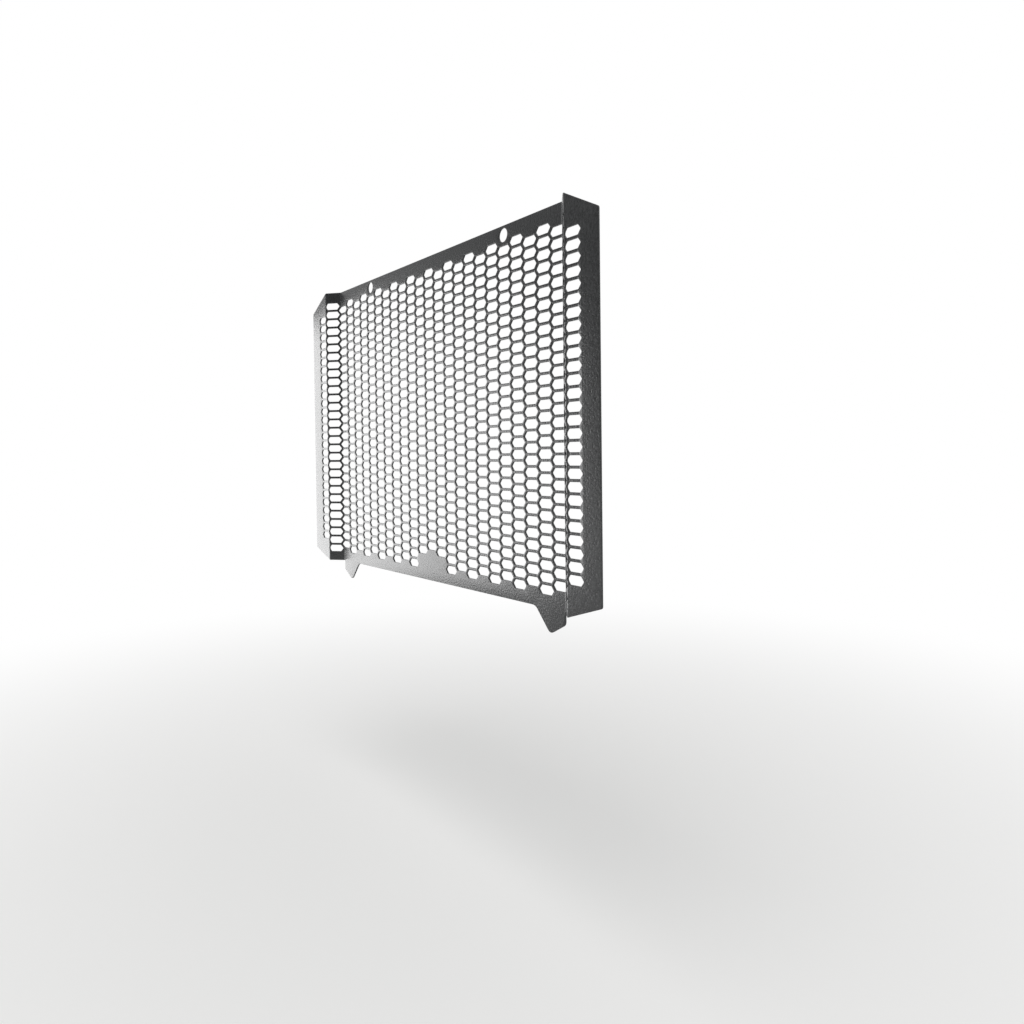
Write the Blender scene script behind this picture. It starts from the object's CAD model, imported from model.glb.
# %% [markdown]
# # A folded and perforated radiator guard
#
# The real object is one sheet of aluminium, 1.5 mm thick. A laser cuts its outline and its
# honeycomb of holes, a press folds a step near each side, and a dark grey powder coat
# finishes it.
# This lesson draws the sheet flat, as the laser sees it, and then folds the drawing.

# %% Load the frame
import math

import bpy
import numpy as np
from mathutils import Matrix, Vector
from mathutils.geometry import delaunay_2d_cdt


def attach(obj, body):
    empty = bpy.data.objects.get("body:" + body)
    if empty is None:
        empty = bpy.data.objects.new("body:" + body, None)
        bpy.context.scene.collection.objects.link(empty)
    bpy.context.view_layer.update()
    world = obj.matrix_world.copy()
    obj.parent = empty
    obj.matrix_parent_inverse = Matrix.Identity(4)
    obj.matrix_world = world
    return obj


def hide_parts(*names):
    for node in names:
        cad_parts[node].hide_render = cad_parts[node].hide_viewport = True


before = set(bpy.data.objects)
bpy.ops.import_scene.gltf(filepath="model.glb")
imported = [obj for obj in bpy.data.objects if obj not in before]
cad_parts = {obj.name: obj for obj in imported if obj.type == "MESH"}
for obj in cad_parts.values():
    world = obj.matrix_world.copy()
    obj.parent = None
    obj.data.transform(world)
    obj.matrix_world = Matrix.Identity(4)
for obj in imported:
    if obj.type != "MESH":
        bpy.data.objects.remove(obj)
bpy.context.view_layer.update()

# %% [markdown]
# ## The camera
#
# The photograph looks at the guard from its front left, level with the middle of the sheet.
# The regular grid of holes works like a chessboard: a camera fitted to the centres of its
# holes gives the position, the turn and the lens below.

# %% Set up the camera
MM = 0.001
CAMERA_AT = Vector((528.2, -330.4, -160.3)) * MM
CAMERA_YAW = 0.9014
CAMERA_PITCH = 0.0201
CAMERA_ROLL = -0.0117
FOCAL_PX = 735.0
IMAGE_PX = 1024.0
HORIZON_UP_PX = 42.06
SENSOR_MM = 36
NEAREST_M, FARTHEST_M = 0.01, 50

ahead = Vector((-math.sin(CAMERA_YAW) * math.cos(CAMERA_PITCH),
                math.cos(CAMERA_YAW) * math.cos(CAMERA_PITCH),
                -math.sin(CAMERA_PITCH)))
level = Vector((math.cos(CAMERA_YAW), math.sin(CAMERA_YAW), 0))
upward = level.cross(ahead)
right = math.cos(CAMERA_ROLL) * level + math.sin(CAMERA_ROLL) * upward
up = math.cos(CAMERA_ROLL) * upward - math.sin(CAMERA_ROLL) * level

camera = bpy.data.objects.new("camera", bpy.data.cameras.new("camera"))
bpy.context.collection.objects.link(camera)
turn = Matrix((right, up, -ahead)).transposed().to_4x4()
camera.matrix_world = Matrix.Translation(CAMERA_AT) @ turn
camera.data.sensor_width = SENSOR_MM
camera.data.lens = FOCAL_PX / IMAGE_PX * SENSOR_MM
camera.data.shift_y = -HORIZON_UP_PX / IMAGE_PX
camera.data.clip_start = NEAREST_M
camera.data.clip_end = FARTHEST_M
bpy.context.scene.camera = camera
print(f"camera: lens {camera.data.lens:.2f} mm, shift {camera.data.shift_y:.3f}")

# %% [markdown]
# ## The flat pattern
#
# A sheet-metal worker thinks of the part unfolded. Every point has a distance `s` along the
# sheet from the middle line and a height `z`. In this flat pattern the honeycomb stays
# regular all the way across the folds, so one loop can place every hole.

# %% Sizes of the sheet, in millimetres
SHEET_T = 1.5
FOLD_R = 2.0
COL_PITCH = 14.7
ROW_PITCH = 8.5
WEB_W = 2.0
CELL_FLAT = 11.3
SIDE_COLS = 11
MID_ROWS = 30
TOP_MARGIN = 10.4
BOTTOM_MARGIN = 9.0
PATCH_COLS, PATCH_ROWS = 1, 2
FOLD_OFFSET = 5.3
BAND_W = 16.3
BAND_ANGLE = math.radians(40)
WING_W = 31.3
WING_TOP_ANGLE = math.radians(28)
WING_BOTTOM_ANGLE = math.radians(18.5)
WING_CORNER_R = 2.0
FIXING_D = 10.0
FIXING_EDGE = 1.8
FIXING_COLS = 7
TAB_W, TAB_DROP, TAB_SIDE, TAB_TIP = 31.0, 17.5, 9.0, 15.5
TAB_TIP_R, TAB_CORNER_R, TAB_ROOT_R = 4.0, 4.0, 7.0

hole_h = ROW_PITCH - WEB_W
cell_slant = (COL_PITCH - CELL_FLAT) / (ROW_PITCH / 2)
hole_point = COL_PITCH - CELL_FLAT / 2 - WEB_W / 2 * math.hypot(1, cell_slant)
hole_flat = hole_point - cell_slant * hole_h / 2

field_h = (MID_ROWS - 1) * ROW_PITCH + hole_h
top_z = FIXING_D / 2 + FIXING_EDGE
mid_z = top_z - TOP_MARGIN - field_h / 2
bottom_z = mid_z - field_h / 2 - BOTTOM_MARGIN
tab_z = bottom_z - TAB_DROP

fold_mid_r = FOLD_R + SHEET_T / 2
fold_trim = fold_mid_r * math.tan(BAND_ANGLE / 2)
fold_s = SIDE_COLS * COL_PITCH + FOLD_OFFSET
wing_s = fold_s + BAND_W
outer_s = wing_s + WING_W
flat_s = fold_s - fold_trim
print(f"flat pattern: {2 * outer_s:.1f} x {top_z - tab_z:.1f} mm")
print(f"one hole: {2 * hole_point:.2f} mm across its points, {hole_h:.2f} mm high")

# %% [markdown]
# ## Loops with rounded corners
#
# Every edge of the sheet is a closed loop of straight sides and arcs. A coated edge is never
# sharp, so each loop is drawn twice: once at its true size, and once a little way into the
# sheet, where the softened edge meets the flat face. Both loops come from the same function,
# so their points match one to one and a strip of faces can join them. Short corners are
# shared out by mixing the two directions, long ones by equal angles.

# %% Draw a loop
EDGE_R = 0.25
OUTLINE_CORNER_STEPS = 8
HOLE_CORNER_STEPS = 2


def rounded_loop(corners, inset, steps):
    """Points of a counter-clockwise loop of (s, z, radius) corners, moved inward by inset.
    A negative radius rounds a corner that points into the loop."""
    loop = []
    for k, (s, z, r) in enumerate(corners):
        here = np.array((s, z))
        before = here - np.array(corners[k - 1][:2])
        after = np.array(corners[(k + 1) % len(corners)][:2]) - here
        inward = [np.array((-e[1], e[0])) / np.linalg.norm(e) for e in (before, after)]
        mitre = (inward[0] + inward[1]) / (1 + inward[0] @ inward[1])
        if r == 0:
            loop.append(here + mitre * inset)
            continue
        centre = here + mitre * r
        for i in range(steps + 1):
            mix = inward[0] * (steps - i) + inward[1] * i
            if steps > HOLE_CORNER_STEPS:
                angle = math.acos(max(-1, min(1, inward[0] @ inward[1])))
                mix = (inward[0] * math.sin(angle * (1 - i / steps))
                       + inward[1] * math.sin(angle * i / steps))
            loop.append(centre - mix / np.linalg.norm(mix) * (r - inset))
    return np.array(loop)


def sheet_outline(inset):
    """The sheet's outer edge in the flat pattern."""
    right_half = [
        (flat_s - TAB_W, bottom_z, -TAB_ROOT_R),
        (flat_s - TAB_TIP, tab_z, TAB_TIP_R),
        (flat_s, bottom_z - TAB_SIDE, TAB_CORNER_R),
        (flat_s, bottom_z, 0),
        (wing_s, bottom_z, 0),
        (outer_s, bottom_z + WING_W * math.tan(WING_BOTTOM_ANGLE), WING_CORNER_R),
        (outer_s, top_z - WING_W * math.tan(WING_TOP_ANGLE), WING_CORNER_R),
        (wing_s, top_z, 0),
    ]
    left_half = [(-s, z, r) for s, z, r in reversed(right_half)]
    return rounded_loop(right_half + left_half, inset, OUTLINE_CORNER_STEPS)


print("points on the outline:", len(sheet_outline(0)))

# %% [markdown]
# ## The honeycomb
#
# Odd columns sit half a row lower than even ones, which is what makes a honeycomb. The laser
# leaves a small radius in every corner of a hole. The wings have one hole less at each end of
# their column, and the middle of the bottom edge keeps a plain patch.

# %% Place the holes
HOLE_CORNER_R = 0.7
FIXING_POINTS = 48


def hexagon(s, z, inset):
    """One honeycomb hole as a loop, its corners rounded."""
    corners = [(hole_point, 0), (hole_flat, hole_h / 2), (-hole_flat, hole_h / 2),
               (-hole_point, 0), (-hole_flat, -hole_h / 2), (hole_flat, -hole_h / 2)]
    placed = [(s + a, z + b, HOLE_CORNER_R) for a, b in corners]
    return rounded_loop(placed, inset, HOLE_CORNER_STEPS)


def fixing_hole(s, z, inset):
    """One round fixing hole as a loop."""
    turns = np.linspace(0, 2 * math.pi, FIXING_POINTS, endpoint=False)
    radius = FIXING_D / 2 - inset
    return np.stack((s + radius * np.cos(turns), z + radius * np.sin(turns)), axis=1)


def hole_centres():
    """Centres of the honeycomb holes in the flat pattern."""
    centres = []
    for i in range(-SIDE_COLS - 2, SIDE_COLS + 3):
        count = MID_ROWS - abs(i) % 2
        if abs(i) == SIDE_COLS + 2:
            count -= 2
        left_out = PATCH_ROWS - abs(i) % 2 if abs(i) <= PATCH_COLS else 0
        for k in range(left_out, count):
            centres.append((i * COL_PITCH, mid_z + (k - (count - 1) / 2) * ROW_PITCH))
    return centres


honeycomb = hole_centres()
face_loops = [sheet_outline(EDGE_R)]
edge_loops = [sheet_outline(0)]
for s, z in honeycomb:
    face_loops.append(hexagon(s, z, -EDGE_R))
    edge_loops.append(hexagon(s, z, 0))
for side in (-1, 1):
    face_loops.append(fixing_hole(side * FIXING_COLS * COL_PITCH, 0, -EDGE_R))
    edge_loops.append(fixing_hole(side * FIXING_COLS * COL_PITCH, 0, 0))
print("holes:", len(honeycomb), "in the honeycomb and 2 for fixing")

# %% [markdown]
# ## Fold lines
#
# A fold is a narrow strip that bends evenly. It needs mesh edges across it, so both folds of
# each side get a few parallel lines, and every loop gets a point wherever it crosses one.

# %% Add points where the loops cross the fold lines
FOLD_STEPS = 6
SAME_PLACE = 1e-4
fold_lines = []
for middle in (fold_s, wing_s):
    for i in range(FOLD_STEPS + 1):
        fold_lines.append(middle + fold_trim * (2 * i / FOLD_STEPS - 1))
fold_lines = np.array(sorted([-s for s in fold_lines] + fold_lines))


def split_at_lines(face_loop, edge_loop):
    """Both loops with a point added at each place where the first one crosses a fold line."""
    new_face, new_edge = [], []
    count = len(face_loop)
    for i in range(count):
        j = (i + 1) % count
        a, b = face_loop[i], face_loop[j]
        new_face.append(a)
        new_edge.append(edge_loop[i])
        low, high = min(a[0], b[0]), max(a[0], b[0])
        crossed = fold_lines[(fold_lines > low + SAME_PLACE) & (fold_lines < high - SAME_PLACE)]
        for t in sorted((line - a[0]) / (b[0] - a[0]) for line in crossed):
            new_face.append(a + (b - a) * t)
            new_edge.append(edge_loop[i] + (edge_loop[j] - edge_loop[i]) * t)
    return np.array(new_face), np.array(new_edge)


pairs = [split_at_lines(f, e) for f, e in zip(face_loops, edge_loops)]
print("points on all loops:", sum(len(f) for f, _ in pairs))

# %% [markdown]
# ## From a drawing to faces
#
# A Delaunay triangulation fills the space between the loops with well-shaped triangles and
# keeps every loop as mesh edges. Blender has one built in, and it also says which loops each
# triangle lies in, so the triangles inside a hole can be dropped.

# %% Fill the sheet's face with triangles
LINE_PAST_SHEET = 5
INSIDE_KEPT, MERGE_WITHIN = 1, 1e-5
points, edges, loops = [], [], []
for face_loop, _ in pairs:
    start = len(points)
    ring = list(range(start, start + len(face_loop)))
    points += [Vector(p) for p in face_loop]
    loops.append(ring)
for line in fold_lines:
    points += [Vector((line, tab_z - LINE_PAST_SHEET)), Vector((line, top_z + LINE_PAST_SHEET))]
    edges.append((len(points) - 2, len(points) - 1))

flat_points, _, triangles, from_points, _, from_loops = delaunay_2d_cdt(
    points, edges, loops, INSIDE_KEPT, MERGE_WITHIN)
kept = [t for t, inside in zip(triangles, from_loops) if list(inside) == [0]]
new_index = {}
for index, olds in enumerate(from_points):
    for old in olds:
        new_index[old] = index
print("triangles on one face:", len(kept))

# %% [markdown]
# ## Folding
#
# Each point of the drawing is moved to its place on the folded sheet. Along a fold it turns
# about the fold's centre, so the inside and the outside of the bend stay one sheet apart.

# %% Fold the pattern
wing_x = fold_s + BAND_W * math.cos(BAND_ANGLE)
wing_y = -BAND_W * math.sin(BAND_ANGLE)


def folded(s, z, depth):
    """Where a point of the flat pattern ends up, in metres. Depth 0 is the front face."""
    a, m = abs(s), depth - SHEET_T / 2
    if a <= flat_s:
        x, y = a, m
    elif a <= fold_s + fold_trim:
        turn = (a - flat_s) / (2 * fold_trim) * BAND_ANGLE
        x = flat_s + (fold_mid_r + m) * math.sin(turn)
        y = -fold_mid_r + (fold_mid_r + m) * math.cos(turn)
    elif a <= wing_s - fold_trim:
        along = a - fold_s
        x = fold_s + along * math.cos(BAND_ANGLE) + m * math.sin(BAND_ANGLE)
        y = -along * math.sin(BAND_ANGLE) + m * math.cos(BAND_ANGLE)
    elif a <= wing_s + fold_trim:
        turn = BAND_ANGLE * (wing_s + fold_trim - a) / (2 * fold_trim)
        x = wing_x + fold_trim - (fold_mid_r - m) * math.sin(turn)
        y = wing_y + fold_mid_r - (fold_mid_r - m) * math.cos(turn)
    else:
        x, y = wing_x + a - wing_s, wing_y + m
    return Vector((math.copysign(x, s), y + SHEET_T / 2, z)) * MM


print("outer edge folds to", [round(v, 4) for v in folded(outer_s, bottom_z, 0)])

# %% [markdown]
# ## One closed mesh
#
# The front face, the back face and the edges between them make one closed body. Around every
# loop run three strips: a softened front edge, the cut wall, and a softened back edge.

# %% Build the sheet
vertices, faces, finish = [], [], []
COATED_FACE, CUT_EDGE = 0, 1
front, back = {}, {}
for t in kept:
    for p in t:
        if p not in front:
            s, z = flat_points[p]
            front[p] = len(vertices)
            vertices.append(folded(s, z, 0))
            back[p] = len(vertices)
            vertices.append(folded(s, z, SHEET_T))
for t in kept:
    faces.append([front[p] for p in t])
    faces.append([back[p] for p in reversed(t)])
    finish += [COATED_FACE, COATED_FACE]

for number, (ring, (_, edge_loop)) in enumerate(zip(loops, pairs)):
    if number > 0:
        ring, edge_loop = ring[::-1], edge_loop[::-1]
    rings = [[front[new_index[p]] for p in ring]]
    for depth in (EDGE_R, SHEET_T - EDGE_R):
        rings.append(list(range(len(vertices), len(vertices) + len(ring))))
        vertices += [folded(s, z, depth) for s, z in edge_loop]
    rings.append([back[new_index[p]] for p in ring])
    for a, b in zip(rings, rings[1:]):
        for i in range(len(ring)):
            j = (i + 1) % len(ring)
            faces.append([a[j], a[i], b[i], b[j]])
            finish.append(CUT_EDGE)

mesh = bpy.data.meshes.new("folded_sheet")
mesh.from_pydata(vertices, [], faces)
mesh.polygons.foreach_set("material_index", finish)
mesh.polygons.foreach_set("use_smooth", [True] * len(faces))
mesh.update()
sheet = bpy.data.objects.new("folded_sheet", mesh)
bpy.context.collection.objects.link(sheet)
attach(sheet, "root")
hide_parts("guard_panel")
print("sheet:", len(vertices), "vertices,", sum(len(f) - 2 for f in faces), "triangles")

# %% [markdown]
# ## Smooth where the sheet is smooth
#
# The large flat faces should shade flat right up to their softened edges. Weighted normals
# let the largest face at each corner decide, which does that without more geometry.

# %% Weight the normals
LARGEST_FACE_DECIDES = 100
normals = sheet.modifiers.new("flat faces stay flat", "WEIGHTED_NORMAL")
normals.weight = LARGEST_FACE_DECIDES
normals.keep_sharp = True
print("modifiers:", [m.name for m in sheet.modifiers])

# %% [markdown]
# ## The powder coat
#
# Powder coat is a plastic film baked onto the metal. Here it is a satin dark grey with the very
# fine skin that the powder leaves as it melts. The colours below are the coat's own. Most of
# the lighter grey in the picture is light that its satin skin mirrors. One noise pattern, with
# waves of 1.4 mm, gives both the tone and the relief. The relief is drawn deeper than the real
# one, which is too fine to show from this far.

# %% Colours and nodes
COAT_THICK_HEX, COAT_THIN_HEX = "#212223", "#313233"
EDGE_THICK_HEX, EDGE_THIN_HEX = "#262728", "#353637"
GRAIN_MM = 1.4
GRAIN_DEPTH_MM = 0.15
GRAIN_STRENGTH = 1.0
GRAIN_DETAIL = 2.0
THICK_BELOW, THIN_ABOVE = 0.35, 0.65
COAT_ROUGHNESS = 0.24
COAT_IOR = 1.5


def linear(hex_colour):
    """An sRGB hex colour as the linear colour that shaders use."""
    parts = [int(hex_colour[i:i + 2], 16) / 255 for i in (1, 3, 5)]
    return [c / 12.92 if c <= 0.04045 else ((c + 0.055) / 1.055) ** 2.4 for c in parts] + [1]


def add_node(tree, kind, settings=None, values=None, links=None):
    """One node, with its settings, its socket values and the sockets that feed it."""
    node = tree.nodes.new(kind)
    for name, value in (settings or {}).items():
        setattr(node, name, value)
    for name, value in (values or {}).items():
        node.inputs[name].default_value = value
    for name, source in (links or {}).items():
        tree.links.new(source, node.inputs[name])
    return node


print("the coat's colour as linear light:", [round(c, 3) for c in linear(COAT_THICK_HEX)])

# %% Mix the coat
def satin_powder_coat(name, thick, thin):
    """Satin powder coat over aluminium sheet, a little lighter where it lies thin."""
    material = bpy.data.materials.new(name)
    material.use_nodes = True
    tree = material.node_tree
    tree.nodes.clear()
    place = add_node(tree, "ShaderNodeTexCoord")
    grain = add_node(tree, "ShaderNodeTexNoise",
                     values={"Scale": 1 / (GRAIN_MM * MM), "Detail": GRAIN_DETAIL},
                     links={"Vector": place.outputs["Object"]})
    tone = add_node(tree, "ShaderNodeValToRGB", links={"Fac": grain.outputs["Fac"]})
    stops = zip(tone.color_ramp.elements, (THICK_BELOW, THIN_ABOVE), (thick, thin))
    for stop, position, colour in stops:
        stop.position = position
        stop.color = linear(colour)
    skin = add_node(tree, "ShaderNodeBump",
                    values={"Strength": GRAIN_STRENGTH, "Distance": GRAIN_DEPTH_MM * MM},
                    links={"Height": grain.outputs["Fac"]})
    coat = add_node(tree, "ShaderNodeBsdfPrincipled",
                    values={"Roughness": COAT_ROUGHNESS, "IOR": COAT_IOR},
                    links={"Base Color": tone.outputs["Color"], "Normal": skin.outputs["Normal"]})
    add_node(tree, "ShaderNodeOutputMaterial", links={"Surface": coat.outputs["BSDF"]})
    return material


coats = [("satin dark grey powder coat", COAT_THICK_HEX, COAT_THIN_HEX),
         ("powder coat on cut edges", EDGE_THICK_HEX, EDGE_THIN_HEX)]
for coat_name, thick_hex, thin_hex in coats:
    mesh.materials.append(satin_powder_coat(coat_name, thick_hex, thin_hex))
print("materials:", [m.name for m in mesh.materials])

# %% [markdown]
# ## The floor
#
# On the motorcycle the guard hangs by its two fixing holes, well above the ground, so the floor
# here also lies below it. It is pale and matt and keeps a soft shadow under the guard. Further
# out its colour passes into plain white, so it meets the white surroundings without a horizon.
# Only what the camera sees, directly or mirrored, gets this white. The light that the floor
# throws back on the guard stays that of a matt floor.

# %% Tell what is seen from what only lights
def seen_or_mirrored(tree):
    """A socket that is 1 for rays from the camera, a reflection or clear glass, and otherwise 0."""
    path = add_node(tree, "ShaderNodeLightPath")
    seen = path.outputs["Is Camera Ray"]
    for other in ("Is Glossy Ray", "Is Transmission Ray"):
        either = add_node(tree, "ShaderNodeMath", {"operation": "MAXIMUM"})
        tree.links.new(seen, either.inputs[0])
        tree.links.new(path.outputs[other], either.inputs[1])
        seen = either.outputs["Value"]
    return seen


print("the floor and the surroundings both use", seen_or_mirrored.__name__)

# %% Lay the floor
FLOOR_HEX = "#FAFAF9"
WHITE_HEX = "#FFFFFF"
FLOOR_WIDTH = 12
FLOOR_DROP = 0.2
FADE_FROM, FADE_TO = 0.1, 1.1
floor_z = tab_z * MM - FLOOR_DROP
bpy.ops.mesh.primitive_plane_add(size=FLOOR_WIDTH, location=(0, 0, floor_z))
floor = bpy.context.object
floor.name = "floor"
paint = bpy.data.materials.new("pale matt floor paint")
paint.use_nodes = True
tree = paint.node_tree
tree.nodes.clear()
place = add_node(tree, "ShaderNodeTexCoord")
reach = add_node(tree, "ShaderNodeVectorMath", {"operation": "LENGTH"})
tree.links.new(place.outputs["Object"], reach.inputs[0])
fade = add_node(tree, "ShaderNodeMapRange", {"interpolation_type": "SMOOTHSTEP"},
                {"From Min": FADE_FROM, "From Max": FADE_TO}, {"Value": reach.outputs["Value"]})
seen = seen_or_mirrored(tree)
share = add_node(tree, "ShaderNodeMath", {"operation": "MULTIPLY"})
tree.links.new(fade.outputs["Result"], share.inputs[0])
tree.links.new(seen, share.inputs[1])
matt = add_node(tree, "ShaderNodeBsdfDiffuse", values={"Color": linear(FLOOR_HEX)})
white = add_node(tree, "ShaderNodeEmission", values={"Color": linear(WHITE_HEX), "Strength": 1.0})
blend = add_node(tree, "ShaderNodeMixShader", links={"Fac": share.outputs["Value"]})
tree.links.new(matt.outputs["BSDF"], blend.inputs[1])
tree.links.new(white.outputs["Emission"], blend.inputs[2])
add_node(tree, "ShaderNodeOutputMaterial", links={"Surface": blend.outputs["Shader"]})
floor.data.materials.append(paint)
print("floor at", round(floor_z, 4))

# %% [markdown]
# ## Light
#
# The surroundings are a plain white studio. A satin coat shows its form by what it mirrors, and
# in the photograph it mirrors something bright and low on the left. The sheet is light there and
# falls off to its own dark grey towards the near side. A softbox stands in that place. It is
# linked to the sheet alone, so that it leaves no bright patch on the floor. A second softbox
# above keeps the whole at a plain level and gives the floor its shadow. What the coat mirrors
# of the studio is darker towards the front, as beside a dark screen.

# %% Surroundings
AIR_LIGHT = 0.6
SHADED_SIDE = (0.28, -0.95, 0.1)
SHADED_LEVEL = 0.2
SHADE_STARTS, SHADE_FULL = 0.0, 0.6
world = bpy.data.worlds.new("white studio")
bpy.context.scene.world = world
world.use_nodes = True
tree = world.node_tree
tree.nodes.clear()
seen = seen_or_mirrored(tree)
path = add_node(tree, "ShaderNodeLightPath")
direction = add_node(tree, "ShaderNodeTexCoord")
facing = add_node(tree, "ShaderNodeVectorMath", {"operation": "DOT_PRODUCT"})
facing.inputs[1].default_value = SHADED_SIDE
tree.links.new(direction.outputs["Generated"], facing.inputs[0])
mirrored = add_node(tree, "ShaderNodeMapRange",
                    values={"From Min": SHADE_STARTS, "From Max": SHADE_FULL,
                            "To Min": 1.0, "To Max": SHADED_LEVEL},
                    links={"Value": facing.outputs["Value"]})
white = add_node(tree, "ShaderNodeMath", {"operation": "MAXIMUM"})
tree.links.new(path.outputs["Is Camera Ray"], white.inputs[0])
tree.links.new(mirrored.outputs["Result"], white.inputs[1])
strength = add_node(tree, "ShaderNodeMapRange", values={"To Min": AIR_LIGHT},
                    links={"Value": seen, "To Max": white.outputs["Value"]})
air = add_node(tree, "ShaderNodeBackground", values={"Color": linear(WHITE_HEX)},
               links={"Strength": strength.outputs["Result"]})
add_node(tree, "ShaderNodeOutputWorld", links={"Surface": air.outputs["Background"]})
print("diffuse light of the surroundings:", AIR_LIGHT)


# %% Lamps
LEFT_AT, LEFT_AIM = (-0.598, -0.318, -0.17), (-0.03, -0.041, -0.17)
LEFT_SIZE, LEFT_BRIGHTNESS = (0.475, 0.48), 4.8
OVERHEAD_AT, OVERHEAD_AIM = (0.2, -0.6, 1.6), (0, 0, -0.13)
OVERHEAD_SIZE, OVERHEAD_BRIGHTNESS = (1.2, 1.2), 2.6


def softbox(name, at, aim, size, brightness):
    """A rectangular area lamp turned towards a point. Brightness 1 looks as bright as white."""
    lamp = bpy.data.lights.new(name, "AREA")
    lamp.shape = "RECTANGLE"
    lamp.size, lamp.size_y = size
    lamp.energy = brightness * math.pi * size[0] * size[1]
    thing = bpy.data.objects.new(name, lamp)
    thing.location = at
    thing.rotation_euler = (Vector(aim) - Vector(at)).to_track_quat("-Z", "Y").to_euler()
    thing.visible_camera = False
    bpy.context.collection.objects.link(thing)
    return thing


left_softbox = softbox("left softbox", LEFT_AT, LEFT_AIM, LEFT_SIZE, LEFT_BRIGHTNESS)
softbox("overhead softbox", OVERHEAD_AT, OVERHEAD_AIM, OVERHEAD_SIZE, OVERHEAD_BRIGHTNESS)
sheet_only = bpy.data.collections.new("lit by the left softbox")
sheet_only.objects.link(sheet)
left_softbox.light_linking.receiver_collection = sheet_only
bpy.context.scene.view_settings.view_transform = "Standard"
